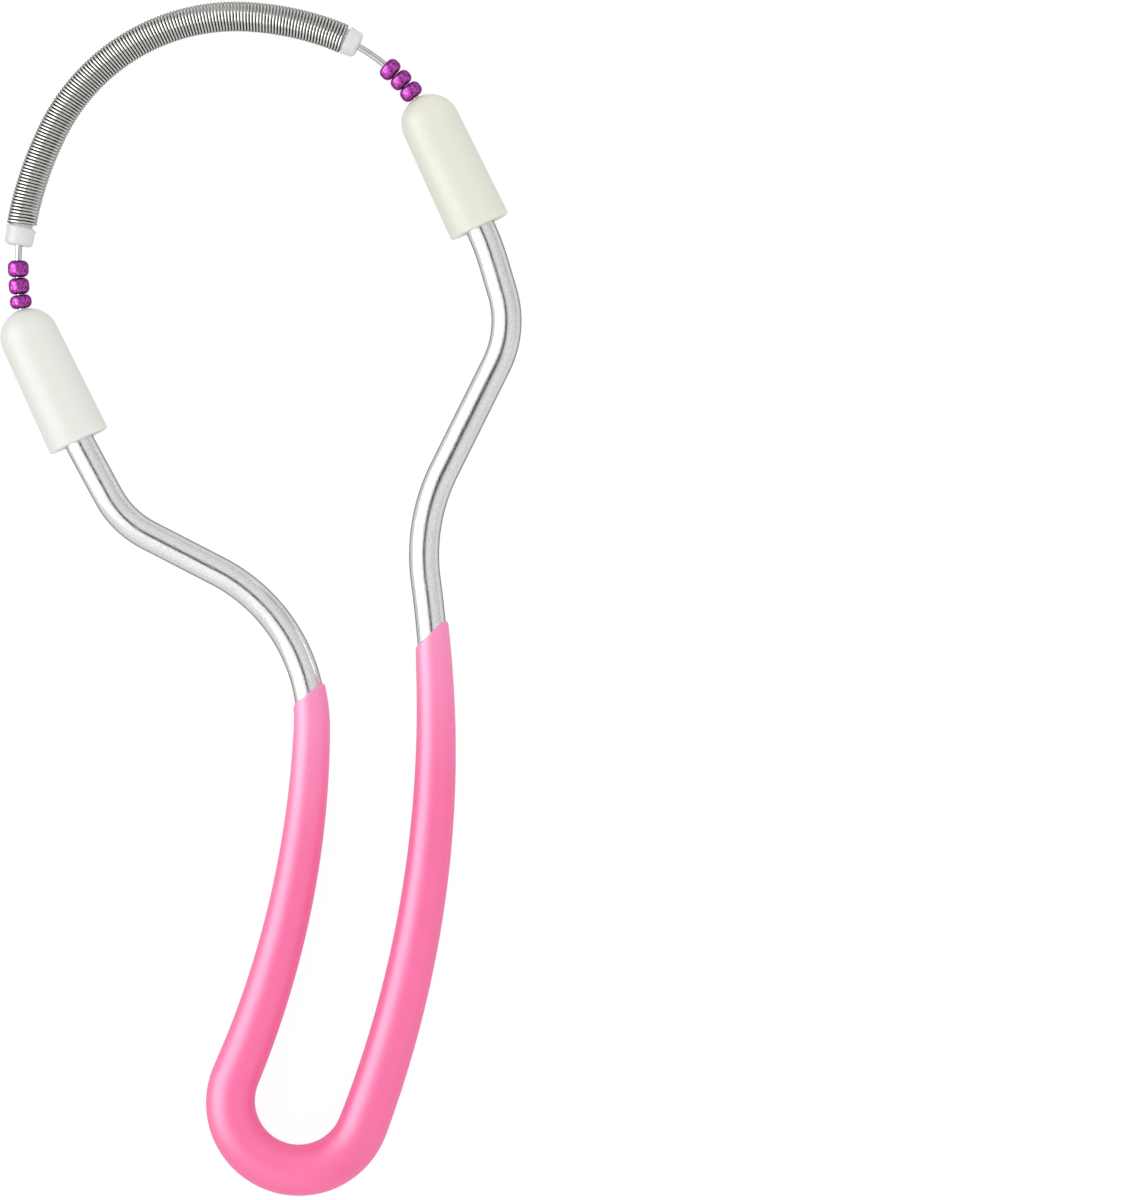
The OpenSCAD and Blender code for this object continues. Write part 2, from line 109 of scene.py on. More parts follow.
class RodSizes(bpy.types.PropertyGroup):
    """The bent steel rod, from the left sleeve round the handle's loop to the right sleeve."""

    diameter: length("Diameter", 5, "Diameter of the rod")
    insert: length("Insert", 17, "Length of rod inside each sleeve")
    entry_radius: length("Entry radius", 40, "Radius of the small bend next to a sleeve")
    left_entry: angle("Left entry", 3, "Bend next to the left sleeve")
    left_stub: length("Left stub", 8.3, "Straight below the left sleeve")
    left_shoulder_radius: length("Left shoulder radius", 15.7, "Radius of the left shoulder")
    left_shoulder: angle("Left shoulder", 34.3, "Bend of the left shoulder")
    left_slope: length("Left slope", 13.1, "Straight between left shoulder and neck")
    left_neck_radius: length("Left neck radius", 28.9, "Radius where the left arm turns down")
    left_neck: angle("Left neck", 64.3, "Bend where the left arm turns down")
    left_side_radius: length("Left side radius", 157, "Radius of the handle's left side")
    left_side: angle("Left side", 21.6, "Bend of the handle's left side")
    loop_radius: length("Loop radius", 11.4, "Radius of the loop at the bottom of the handle")
    loop: angle("Loop", 182.2, "Bend of the loop at the bottom of the handle")
    right_side_radius: length("Right side radius", 184, "Radius of the handle's right side")
    right_side: angle("Right side", 28.8, "Bend of the handle's right side")
    right_neck_radius: length("Right neck radius", 31.7, "Radius where the right arm starts")
    right_neck: angle("Right neck", 34.2, "Bend where the right arm starts")
    right_slope: length("Right slope", 19.6, "Straight of the right arm")
    right_shoulder_radius: length("Right shoulder radius", 16.6, "Radius of the right shoulder")
    right_shoulder: angle("Right shoulder", 43, "Bend of the right shoulder")
    right_stub: length("Right stub", 5.4, "Straight below the right sleeve")
    right_entry: angle("Right entry", 8.8, "Bend next to the right sleeve")
    socket_depth: length("Socket depth", 6, "Depth of the hole for the wire in each end of the rod")


class GripSizes(bpy.types.PropertyGroup):
    """The dipped vinyl coat of the handle."""

    left_edge: length("Left edge", 59.5, "From the left sleeve along the rod to the coat")
    right_edge: length("Right edge", 71.5, "From the right sleeve along the rod to the coat")
    left_slant: angle("Left slant", 27, "Slant of the left edge, from the rod's tilt when dipped")
    right_slant: angle("Right slant", 35, "Slant of the right edge")
    lift: angle("Lift", 9, "Slant by which the coat reaches further along the rod on its upper side")
    fade: length("Fade", 7, "Length in which the slant fades out")
    top: length("Top thickness", 0.4, "Thickness of the coat at its edges")
    full: length("Full thickness", 2, "Thickness that the coat builds up towards")
    growth: length("Growth", 62, "Length over which most of the thickness builds up")
    drip: length("Drip", 0.16, "Extra thickness at the loop's middle, where the wet coat gathered")
    drip_length: length("Drip length", 20, "Length to each side of that in which it fades")
    lip: length("Lip", 0.6, "Length of the rounded lip")
    fit: length("Fit", 0.02, "Gap between the coat's inside and the rod")


class SleeveSizes(bpy.types.PropertyGroup):
    """The two domed plastic sleeves."""

    lean: angle("Lean", 25.4, "Lean of the sleeves to the left of the Y axis")
    length: length("Length", 24, "Length of a sleeve over its dome")
    mouth: length("Mouth diameter", 10.5, "Diameter at the open end")
    dome: length("Dome diameter", 9.8, "Diameter where the dome begins")
    edge: length("Edge", 0.35, "Radius of the rounded open edge")
    fit: length("Fit", 0.03, "Gap between the rod and the bore")
    hole_fit: length("Hole fit", 0.2, "Gap between the wire and the hole in the dome")


class WireSizes(bpy.types.PropertyGroup):
    """The core wire that carries the spring."""

    diameter: length("Diameter", 1.1, "Diameter of the wire")
    socket_fit: length("Socket fit", 0.02, "Gap between the wire and its hole in the rod")
    left_lead_at: length("Left lead", 18.8, "From the left sleeve's open end to the first bend")
    right_lead_at: length("Right lead", 20, "From the right sleeve's open end to the first bend")
    lead_radius: length("Lead radius", 15, "Radius of the first bend at each end")
    left_lead: angle("Left lead bend", 13, "First bend at the left")
    right_lead: angle("Right lead bend", 6, "First bend at the right")
    left_run_radius: length("Left run radius", 41.87, "Radius under the left beads and cap")
    left_run: angle("Left run", 26, "Bend under the left beads and cap")
    left_arch_radius: length("Left arch radius", 61, "Radius along the left of the spring")
    left_arch: angle("Left arch", 13, "Bend along the left of the spring")
    top_arch_radius: length("Top arch radius", 34, "Radius at the top of the bow")
    top_arch: angle("Top arch", 66.5, "Bend at the top of the bow")
    right_arch_radius: length("Right arch radius", 49, "Radius along the right of the spring")
    right_arch: angle("Right arch", 16, "Bend along the right of the spring")
    right_run_radius: length("Right run radius", 30.552, "Radius under the right beads and cap")
    right_run: angle("Right run", 39.5, "Bend under the right beads and cap")


class SpringSizes(bpy.types.PropertyGroup):
    """The close-wound coil."""

    wire: length("Wire", 0.48, "Diameter of the spring wire")
    diameter: length("Diameter", 5, "Outer diameter of the spring")
    turns: bpy.props.IntProperty(name="Turns", description="Number of turns", default=136, min=1)
    gap: length("Gap", 0.02, "Gap between the turns where the bow is tightest")


class CapSizes(bpy.types.PropertyGroup):
    """The two caps that close the spring."""

    left_length: length("Left length", 3, "Length of the left cap's body")
    right_length: length("Right length", 2.4, "Length of the right cap's body")
    left_rim: length("Left rim", 5.2, "Diameter of the left cap's rim")
    right_rim: length("Right rim", 4.9, "Diameter of the right cap's rim")
    taper: length("Taper", 0.5, "How much narrower a cap is at its bead end")
    round: length("Round", 0.7, "How far the far edge of a cap is rounded")
    edge: length("Edge", 0.15, "How far the rim of a cap is rounded")
    stem: length("Stem", 3.8, "Diameter of the stem inside the spring")
    stem_length: length("Stem length", 2.4, "Length of the stem")
    hole_fit: length("Hole fit", 0.25, "Gap between the wire and a cap's hole")
    left_gap: length("Left gap", 0.36, "Gap between the left cap's rim and the spring")
    right_gap: length("Right gap", 0.12, "Gap between the right cap's rim and the spring")
    slant: angle("Slant", 5, "Slant of the left cap's rim")
    lip: length("Lip", 0.2, "How far the left cap's rim flares out")
    lip_length: length("Lip length", 0.5, "Length of that flare")
    collar: length("Collar", 4.5, "Diameter of the collar between left cap and spring")
    collar_length: length("Collar length", 0.16, "Length of that collar")
    bare_wire: length("Bare wire", 2.5, "Bare wire between the left beads and the left cap")


class BeadSizes(bpy.types.PropertyGroup):
    """The six glass beads: diameter and length of each, counted from the cap to the sleeve."""

    left_1: bead_size("Left 1", 3.5, 2.7)
    left_2: bead_size("Left 2", 3.45, 2.65)
    left_3: bead_size("Left 3", 3.65, 2.2)
    right_1: bead_size("Right 1", 3.75, 2.35)
    right_2: bead_size("Right 2", 3.7, 2.3)
    right_3: bead_size("Right 3", 3.8, 2.35)
    round: length("Round", 1, "Radius of a bead's rounded edges")
    gap: length("Gap", 0.2, "Gap between neighbouring beads, and between a bead and its sleeve")
    swell: length("Swell", 0.045, "How much longer a bead is made at each end")
    hole_fit: length("Hole fit", 0.2, "Gap between the wire and a bead's hole")
    # Radii between which a bead's ends carry painted shade, where the beads lie against each other.
    end_shade_inner: length("Dark end", 1.05, "Radius up to which a bead's end is dark")
    end_shade_outer: length("Bright side", 1.6, "Radius from which a bead is bright")


class Finishes(bpy.types.PropertyGroup):
    """The colours of the materials."""

    rod_steel: colour("Rod steel", (246, 246, 247), "Colour of the bright rod")
    wire_steel: colour("Wire steel", (222, 222, 223), "Colour of the core wire")
    spring_steel: colour("Spring steel", (230, 229, 224), "Colour of the spring wire")
    pink: colour("Pink", (255, 97, 162), "Colour of the vinyl coat where it is thick")
    thin_pink: colour("Thin pink", (255, 138, 190), "Colour of the vinyl coat where it is thin")
    left_ivory: colour("Left ivory", (232, 232, 226), "Colour of the left sleeve")
    right_ivory: colour("Right ivory", (230, 230, 217), "Colour of the right sleeve")
    nylon: colour("Nylon", (225, 225, 225), "Colour of the end caps")
    purple: colour("Purple", (232, 124, 222), "Colour of the lined glass beads")


class HairSpringSettings(bpy.types.PropertyGroup):
    """All sizes and colours of the tool."""

    rod: bpy.props.PointerProperty(type=RodSizes)
    grip: bpy.props.PointerProperty(type=GripSizes)
    sleeves: bpy.props.PointerProperty(type=SleeveSizes)
    wire: bpy.props.PointerProperty(type=WireSizes)
    spring: bpy.props.PointerProperty(type=SpringSizes)
    caps: bpy.props.PointerProperty(type=CapSizes)
    beads: bpy.props.PointerProperty(type=BeadSizes)
    finishes: bpy.props.PointerProperty(type=Finishes)


def setting(group):
    """One of the property groups of the scene."""
    return getattr(bpy.context.scene.hair_spring, group)


# Routes

def straight(distance):
    """A leg of a route that goes straight on."""
    return (distance, 0.0)


def bend(radius, turn):
    """A leg of a route that turns left for a positive turn."""
    return (radius * abs(turn), turn)


class Route:
    """A flat route of straights and bends from a start at (x, y, heading)."""

    def __init__(self, start, legs):
        self.legs = []
        self.length = 0.0
        pose = start
        for leg in legs:
            self.legs.append((self.length, leg, pose))
            pose = self.after(pose, leg, leg[0])
            self.length += leg[0]

    @staticmethod
    def after(pose, leg, distance):
        """The pose at a distance along one leg that starts at the pose."""
        x, y, heading = pose
        leg_length, turn = leg
        if turn == 0:
            ahead, aside, swept = distance, 0.0, 0.0
        else:
            radius = leg_length / turn
            swept = distance / radius
            ahead, aside = radius * math.sin(swept), radius * (1 - math.cos(swept))
        return (
            x + ahead * math.cos(heading) - aside * math.sin(heading),
            y + ahead * math.sin(heading) + aside * math.cos(heading),
            heading + swept,
        )

    def pose(self, distance):
        """The pose at a distance along the whole route."""
        start, leg, pose = next(found for found in reversed(self.legs) if distance >= found[0])
        return self.after(pose, leg, distance - start)

    def middle(self, number):
        """The distance to the middle of one leg, counted from 0."""
        start, leg, _ = self.legs[number]
        return start + leg[0] / 2

    def matrix(self, distance, height):
        """The place at a distance along the route, with X ahead and Z up."""
        x, y, heading = self.pose(distance)
        return facing(x, y, height, heading)


def facing(x, y, z, heading):
    """The place at (x, y, z), with X along the heading and Z up."""
    return Matrix.Translation((x, y, z)) @ Matrix.Rotation(heading, 4, "Z")


def onward(x, y, heading, distance):
    """The point at a distance from (x, y) along the heading."""
    return x + distance * math.cos(heading), y + distance * math.sin(heading)


def sleeve_heading():
    """The direction from a sleeve's open end to its dome."""
    return math.pi / 2 + setting("sleeves").lean


def left_mouth():
    """The middle of the left sleeve's open end, found from the sleeve's own box."""
    sizes = setting("sleeves")
    low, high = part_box("left_sleeve")
    dome = sizes.dome / 2
    return onward(low.x + dome, high.y - dome, sleeve_heading(), dome - sizes.length)


def middle_height():
    """The height of the plane in which the rod and the wire are bent."""
    low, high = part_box("left_sleeve")
    return (low.z + high.z) / 2


def rod_route():
    """The middle of the rod, from its end in the left sleeve to its end in the right one."""
    rod = setting("rod")
    heading = sleeve_heading()
    start = onward(*left_mouth(), heading, rod.insert)
    return Route((*start, heading - math.pi), [
        straight(rod.insert),
        bend(rod.entry_radius, rod.left_entry),
        straight(rod.left_stub),
        bend(rod.left_shoulder_radius, rod.left_shoulder),
        straight(rod.left_slope),
        bend(rod.left_neck_radius, -rod.left_neck),
        bend(rod.left_side_radius, -rod.left_side),
        bend(rod.loop_radius, rod.loop),
        bend(rod.right_side_radius, rod.right_side),
        bend(rod.right_neck_radius, -rod.right_neck),
        straight(rod.right_slope),
        bend(rod.right_shoulder_radius, rod.right_shoulder),
        straight(rod.right_stub),
        bend(rod.entry_radius, rod.right_entry),
        straight(rod.insert),
    ])


def wire_inset():
    """How far inside a sleeve the wire ends, from the sleeve's open end."""
    return setting("rod").insert - setting("rod").socket_depth


def wire_route():
    """The middle of the wire, from its end in the left sleeve to its end in the right one."""
    wire = setting("wire")
    heading = sleeve_heading()
    inset = wire_inset()
    start = onward(*left_mouth(), heading, inset)
    return Route((*start, heading), [
        straight(wire.left_lead_at - inset),
        bend(wire.lead_radius, -wire.left_lead),
        bend(wire.left_run_radius, -wire.left_run),
        bend(wire.left_arch_radius, -wire.left_arch),
        bend(wire.top_arch_radius, -wire.top_arch),
        bend(wire.right_arch_radius, -wire.right_arch),
        bend(wire.right_run_radius, -wire.right_run),
        bend(wire.lead_radius, -wire.right_lead),
        straight(wire.right_lead_at - inset),
    ])


def spring_pitch():
    """Distance from turn to turn along the middle of the bow."""
    spring = setting("spring")
    middle_radius = (spring.diameter - spring.wire) / 2
    return (spring.wire + spring.gap) / (1 - middle_radius / setting("wire").top_arch_radius)


def left_rim_at():
    """Distance along the wire to the left cap's rim, past the dome, the beads and the bare wire."""
    beads, caps = setting("beads"), setting("caps")
    bead_lengths = beads.left_1[1] + beads.left_2[1] + beads.left_3[1]
    dome_at = setting("sleeves").length - wire_inset()
    return dome_at + 3 * beads.gap + bead_lengths + caps.bare_wire + caps.left_length


def spring_at():
    """Distance along the wire to the middle of the spring's first turn."""
    return left_rim_at() + setting("caps").left_gap + setting("spring").wire / 2


def right_rim_at():
    """Distance along the wire to the right cap's rim."""
    spring = setting("spring")
    return spring_at() + spring.turns * spring_pitch() + spring.wire / 2 + setting("caps").right_gap


# Modelling

def spaced(first, last, steps):
    """Evenly spaced numbers from the first to the last."""
    return [first + (last - first) * k / steps for k in range(steps + 1)]


def nothing_selected():
    """Leaves edit mode and deselects every object."""
    if bpy.context.object and bpy.context.object.mode != "OBJECT":
        bpy.ops.object.mode_set(mode="OBJECT")
    bpy.ops.object.select_all(action="DESELECT")


def only(piece):
    """Makes the piece the one that is selected and active."""
    nothing_selected()
    piece.select_set(True)
    bpy.context.view_layer.objects.active = piece


def settle(piece):
    """Applies the object's place, so that it stands at the origin."""
    only(piece)
    bpy.ops.object.transform_apply(location=True, rotation=True, scale=True)


def edit_all():
    """Enters edit mode with the whole mesh selected."""
    bpy.ops.object.mode_set(mode="EDIT")
    bpy.ops.mesh.select_all(action="SELECT")


def tidy_mesh():
    """Welds the points that meet, turns all faces outwards and leaves edit mode."""
    bpy.ops.mesh.select_all(action="SELECT")
    bpy.ops.mesh.remove_doubles(threshold=WELD)
    bpy.ops.mesh.normals_make_consistent(inside=False)
    bpy.ops.object.mode_set(mode="OBJECT")


def close_ends():
    """Fills the open ends of a tube and tidies its mesh."""
    edit_all()
    bpy.ops.mesh.fill_holes(sides=0)
    tidy_mesh()


def extrude(offset):
    """Extrudes what is selected by the offset, in edit mode."""
    bpy.ops.mesh.extrude_region_move(TRANSFORM_OT_translate={"value": offset})


def drawn(name, points):
    """A chain of edges through the points, extruded from one to the next."""
    nothing_selected()
    bpy.ops.mesh.primitive_plane_add(size=MM)
    piece = bpy.context.object
    piece.name = name
    bpy.ops.object.mode_set(mode="EDIT")
    bpy.ops.mesh.select_mode(type="VERT")
    bpy.ops.mesh.select_all(action="SELECT")
    bpy.ops.mesh.merge(type="CENTER")
    bpy.ops.transform.translate(value=points[0])
    for start, end in zip(points, points[1:]):
        extrude(Vector(end) - Vector(start))
    bpy.ops.object.mode_set(mode="OBJECT")
    return piece


def turned(name, profile, sides):
    """A piece turned about the X axis from a profile of (x, radius) points."""
    piece = drawn(name, [(x, radius, 0) for x, radius in profile])
    edit_all()
    bpy.ops.mesh.spin(steps=sides, angle=2 * math.pi, center=(0, 0, 0), axis=(1, 0, 0))
    tidy_mesh()
    return piece


def apply_modifier(piece, kind, **options):
    """Adds a modifier with the given options and applies it."""
    only(piece)
    modifier = piece.modifiers.new(kind.title(), kind)
    for option, value in options.items():
        setattr(modifier, option, value)
    bpy.ops.object.modifier_apply(modifier=modifier.name)


def bar(name, diameter, bar_length, sides):
    """A straight round bar along X, with a ring at every step."""
    steps = max(1, round(bar_length / RING_STEP))
    step = bar_length / steps
    nothing_selected()
    bpy.ops.mesh.primitive_circle_add(
        vertices=sides, radius=diameter / 2, rotation=(0, math.pi / 2, 0))
    piece = bpy.context.object
    piece.name = name
    settle(piece)
    edit_all()
    extrude((step, 0, 0))
    bpy.ops.object.mode_set(mode="OBJECT")
    apply_modifier(
        piece, "ARRAY", count=steps, use_relative_offset=False, use_constant_offset=True,
        constant_offset_displace=(step, 0, 0), use_merge_vertices=True, merge_threshold=WELD)
    close_ends()
    return piece


def select_faces(piece, wanted):
    """Selects the faces for which wanted(face) is true, and leaves the piece in edit mode."""
    only(piece)
    bpy.ops.object.mode_set(mode="EDIT")
    bpy.ops.mesh.select_mode(type="FACE")
    bpy.ops.mesh.select_all(action="DESELECT")
    bpy.ops.object.mode_set(mode="OBJECT")
    for face in piece.data.polygons:
        face.select = wanted(face)
    bpy.ops.object.mode_set(mode="EDIT")


def drill_end(piece, end_x, outward, diameter, hole_diameter, depth):
    """Sinks a round hole into the flat end of a bar."""
    select_faces(piece, lambda face: (
        face.normal.x * outward > END_FACE and abs(face.center.x - end_x) < WELD))
    bpy.ops.mesh.inset(thickness=(diameter - hole_diameter) / 2)
    extrude((-outward * depth, 0, 0))
    bpy.ops.object.mode_set(mode="OBJECT")


def point_places(piece):
    """The x, y and z of every point of the piece, in one row."""
    places = np.empty(len(piece.data.vertices) * 3, np.float32)
    piece.data.vertices.foreach_get("co", places)
    return places


def keep_straight_places(piece):
    """Keeps each point's place on the straight piece, for patterns that follow its bends."""
    places = point_places(piece)
    kept = piece.data.attributes.new(STRAIGHT, "FLOAT_VECTOR", "POINT")
    kept.data.foreach_set("vector", places)


def guide_curve(route):
    """A flat curve along the route."""
    steps = math.ceil(route.length / GUIDE_STEP)
    data = bpy.data.curves.new("guide", "CURVE")
    data.dimensions = "2D"
    data.use_deform_bounds = False
    spline = data.splines.new("POLY")
    spline.points.add(steps)
    for point, distance in zip(spline.points, spaced(0, route.length, steps)):
        x, y, _ = route.pose(distance)
        point.co = (x, y, 0, 1)
    guide = bpy.data.objects.new("guide", data)
    bpy.context.scene.collection.objects.link(guide)
    return guide


def follow(piece, route):
    """Bends a piece, made along X, along the route, at the height of the bent rod."""
    guide = guide_curve(route)
    apply_modifier(piece, "CURVE", object=guide, deform_axis="POS_X")
    bpy.data.objects.remove(guide)
    piece.data.transform(Matrix.Translation((0, 0, middle_height())))


def bend_along(piece, route):
    """Bends a straight piece along the route, and keeps its straight places."""
    keep_straight_places(piece)
    follow(piece, route)


def place(piece, matrix):
    """Puts a piece, made along X, in its place, and keeps its straight places."""
    keep_straight_places(piece)
    piece.data.transform(matrix)


def move_points(piece, change):
    """Moves every point with change(places), where places has a row of x, y and z for each."""
    places = change(point_places(piece).reshape(-1, 3))
    piece.data.vertices.foreach_set("co", places.astype(np.float32).ravel())
    piece.data.update()


def finish_piece(piece, surface, body, node):
    """Smooths the piece, gives it its material and puts it in the place of its node."""
    only(piece)
    bpy.ops.object.shade_smooth_by_angle(angle=SMOOTH_ANGLE)
    piece.data.materials.clear()
    piece.data.materials.append(surface)
    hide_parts(node)
    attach(piece, body)


def arc(middle_x, middle_radius, radius, first, last, steps):
    """Points of a profile along an arc, from the first to the last angle in degrees."""
    return [
        (middle_x + radius * math.cos(a), middle_radius + radius * math.sin(a))
        for a in map(math.radians, spaced(first, last, steps))
    ]


# Materials

def new_material(name):
    """A material with only its output and a principled shader."""
    made = bpy.data.materials.new(name)
    made.use_nodes = True
    return made, made.node_tree.nodes["Principled BSDF"]


def set_inputs(made, target, inputs):
    """Fills inputs of a node with values or links."""
    for name, value in inputs.items():
        if isinstance(value, bpy.types.NodeSocket):
            made.node_tree.links.new(value, target.inputs[name])
        else:
            target.inputs[name].default_value = value


def node(made, kind, inputs=None, **settings):
    """Adds a node, sets its properties and fills its inputs."""
    added = made.node_tree.nodes.new(kind)
    for name, value in settings.items():
        setattr(added, name, value)
    set_inputs(made, added, inputs or {})
    return added


def product(made, first, second):
    """Two vectors or colours, multiplied with each other."""
    added = node(made, "ShaderNodeVectorMath", {0: first, 1: second}, operation="MULTIPLY")
    return added.outputs["Vector"]


def maths(made, operation, first, second):
    added = node(made, "ShaderNodeMath", {0: first, 1: second}, operation=operation)
    return added.outputs["Value"]


def mapped(made, value, source=(0.0, 1.0), target=(0.0, 1.0)):
    """A number that crosses the target range as the value crosses the source range."""
    added = node(made, "ShaderNodeMapRange", {
        "Value": value, "From Min": source[0], "From Max": source[1],
        "To Min": target[0], "To Max": target[1]})
    return added.outputs["Result"]


def straight_place(made, stretch):
    """The place on the straight piece, stretched along X, Y and Z."""
    kept = node(made, "ShaderNodeAttribute", attribute_name=STRAIGHT)
    return product(made, kept.outputs["Vector"], stretch)


def noise(made, scale, detail, stretch=(1, 1, 1), roughness=0.55):
    """Noise on the straight piece, stretched along X, Y and Z."""
    added = node(made, "ShaderNodeTexNoise", {
        "Vector": straight_place(made, stretch), "Scale": scale, "Detail": detail,
        "Roughness": roughness})
    return added.outputs["Fac"]


def from_axis(made, inner, outer):
    """How far the surface is from the inner to the outer radius, from 0 to 1."""
    radius = node(
        made, "ShaderNodeVectorMath", {0: straight_place(made, (0, 1, 1))}, operation="LENGTH")
    return mapped(made, radius.outputs["Value"], source=(inner, outer))


def bump(made, height, strength, distance):
    added = node(
        made, "ShaderNodeBump", {"Height": height, "Strength": strength, "Distance": distance})
    return added.outputs["Normal"]


def ramp(made, factor, stops):
    """A colour ramp through (position, colour) stops."""
    added = node(made, "ShaderNodeValToRGB", {"Fac": factor})
    elements = added.color_ramp.elements
    while len(elements) < len(stops):
        elements.new(0.5)
    for element, (position, shade) in zip(elements, stops):
        element.position = position
        element.color = (*shade, 1)
    return added.outputs["Color"]


def grey(level):
    return (level, level, level)


def shaded(tint, share):
    """The tint, darker for a share under 1 and lighter over it."""
    return [min(1.0, c * share) for c in tint]


def clouded(made, clouds, tint, share):
    """The tint, down to a share of it where the clouds are dark."""
    return ramp(made, clouds, [(0.3, shaded(tint, share)), (0.7, tint)])


def finish_colour(name):
    """One of the colours of the materials."""
    return list(getattr(setting("finishes"), name))


# How much steel reflects where it is seen at a glancing angle, for drawn steel and for the spring.
EDGE_TINT = (0.1, 0.1, 0.1, 1)
SPRING_EDGE_TINT = (0.35, 0.35, 0.35, 1)
# Thickness of vinyl over which its colour deepens.
PINK_DEPTH = 1 * MM
# Light of every colour travels equally far in the white plastics.
EVEN_SCATTER = (1.0, 1.0, 1.0)


def drawn_steel(name):
    """Drawn rod or wire: bright, with a fine satin grain along its length and darker edges."""
    made, shader = new_material(name)
    drawn_lines = noise(made, scale=9000, detail=2, stretch=(0.06, 1, 1))
    grain = noise(made, scale=5200, detail=4, stretch=(0.6, 1, 1))
    clouds = noise(made, scale=260, detail=2)
    tint = clouded(made, clouds, finish_colour(name), share=0.96)
    speckles = ramp(made, grain, [(0.35, grey(0.84)), (0.55, grey(1.0))])
    scratches = maths(made, "ADD", drawn_lines, grain)
    set_inputs(made, shader, {
        "Base Color": product(made, tint, speckles),
        "Roughness": mapped(made, grain, target=(0.1, 0.22)),
        "Normal": bump(made, scratches, strength=0.6, distance=0.018 * MM),
        "Metallic": 1.0,
        "Specular Tint": EDGE_TINT,
    })
    return made


def spring_steel():
    """Polished spring wire, with painted shade in the grooves where its turns lie against each
    other.
    """
    made, shader = new_material("spring_steel")
    spring = setting("spring")
    clouds = noise(made, scale=420, detail=3)
    tint = clouded(made, clouds, finish_colour("spring_steel"), share=0.9)
    outside = from_axis(made, (spring.diameter - spring.wire) / 2, spring.diameter / 2)
    # Painted shade: the wire is nearly black on its inner side, in the grooves between the turns,
    # and bright only at its crown.
    turns = ramp(made, outside, [(0.0, grey(0.05)), (0.6, grey(0.09)), (0.9, grey(1.0))])
    set_inputs(made, shader, {
        "Base Color": product(made, tint, turns),
        "Roughness": mapped(made, clouds, target=(0.12, 0.2)),
        "Metallic": 1.0,
        "Specular Tint": SPRING_EDGE_TINT,
    })
    return made


def pink_vinyl():
    """Dipped vinyl: soft gloss, paler where it is thin over the bright rod."""
    made, shader = new_material("pink_vinyl")
    thin = finish_colour("thin_pink")
    rod_radius = setting("rod").diameter / 2
    thickness = from_axis(made, rod_radius, rod_radius + PINK_DEPTH)
    tint = ramp(made, thickness, [
        (0.15, shaded(thin, 1.5)), (0.38, thin), (0.95, finish_colour("pink"))])
    clouds = noise(made, scale=90, detail=2)
    waves = noise(made, scale=160, detail=1, stretch=(0.5, 1, 1))
    set_inputs(made, shader, {
        "Base Color": product(made, tint, clouded(made, clouds, grey(1.0), share=0.97)),
        "Roughness": mapped(made, clouds, target=(0.4, 0.46)),
        "Normal": bump(made, waves, strength=0.25, distance=0.1 * MM),
        "IOR": 1.6,
        "Specular IOR Level": 1.0,
        "Subsurface Weight": 0.1,
        "Subsurface Radius": (1.0, 0.35, 0.5),
        "Subsurface Scale": 0.5 * MM,
    })
    return made


def ivory_plastic(side):
    """Dull moulded plastic; the left sleeve is a little whiter than the right one."""
    made, shader = new_material(f"{side}_ivory_plastic")
    clouds = noise(made, scale=130, detail=2)
    set_inputs(made, shader, {
        "Base Color": clouded(made, clouds, finish_colour(f"{side}_ivory"), share=0.985),
        "Roughness": mapped(made, clouds, target=(0.36, 0.46)),
        "Subsurface Weight": 0.5,
        "Subsurface Radius": EVEN_SCATTER,
        "Subsurface Scale": 1.5 * MM,
    })
    return made


def cloudy_nylon():
    """Pale nylon that lets a little light in."""
    made, shader = new_material("cloudy_nylon")
    clouds = noise(made, scale=500, detail=2)
    set_inputs(made, shader, {
        "Base Color": clouded(made, clouds, finish_colour("nylon"), share=0.96),
        "Roughness": 0.35,
        "Subsurface Weight": 0.3,
        "Subsurface Radius": EVEN_SCATTER,
        "Subsurface Scale": 0.6 * MM,
    })
    return made


def purple_glass():
    """Silver-lined purple glass: bright, crackled and dark at its outline, with painted shade on its
    ends where the beads touch.
    """
    made, shader = new_material("purple_glass")
    beads = setting("beads")
    purple = finish_colour("purple")
    crackle = noise(made, scale=2400, detail=3, stretch=(0.7, 1, 1), roughness=0.7)
    shades = ramp(made, crackle, [
        (0.4, shaded(purple, 0.5)), (0.5, purple), (0.6, shaded(purple, 1.9))])
    outside = from_axis(made, beads.end_shade_inner, beads.end_shade_outer)
    # Painted shade on a bead's ends, darkest near the hole, where it lies against its neighbour.
    painted_end_shade = ramp(made, outside, [(0.0, grey(0.35)), (1.0, grey(1.0))])
    set_inputs(made, shader, {
        "Base Color": product(made, shades, painted_end_shade),
        "Roughness": 0.36,
        "Normal": bump(made, crackle, strength=0.8, distance=0.05 * MM),
        "Metallic": 0.8,
        "Specular Tint": (0.25, 0.06, 0.25, 1),
        "Coat Weight": 1.0,
        "Coat IOR": 1.12,
        "Coat Roughness": 0.1,
        "Coat Tint": (0.6, 0.35, 0.6, 1),
    })
    return made


# Stage

# Lamps: name, place, width, power, and whether they are only mirrored, or else only light dull
# surfaces.
LAMPS = (
    ("soft_key", (-0.6, 0.3, 0.75), 0.6, 0.7, False),
    ("left_sheen", (-0.88, 0.04, 0.47), 1.05, 11.5, True),
)
# How strongly the studio lights dull surfaces.
SOFT_LEVEL = 1.0
# The direction from the white side of the studio to its grey side.
GREY_SIDE = (0.87, 0.49, 0)
# Place and lightness of the mirrored walls, from the white side to the grey one, with a dark gap
# overhead.
WALLS = (
    (0.0, 0.88), (0.2, 1.0), (0.43, 1.08), (0.445, 0.02), (0.54, 0.02),
    (0.6, 0.74), (0.72, 0.82), (0.93, 0.7), (1.0, 0.6),
)
# Height up to which the walls are dimmer, and how light they are at the horizon.
HORIZON_TOP = 0.2
HORIZON_LEVEL = 0.72
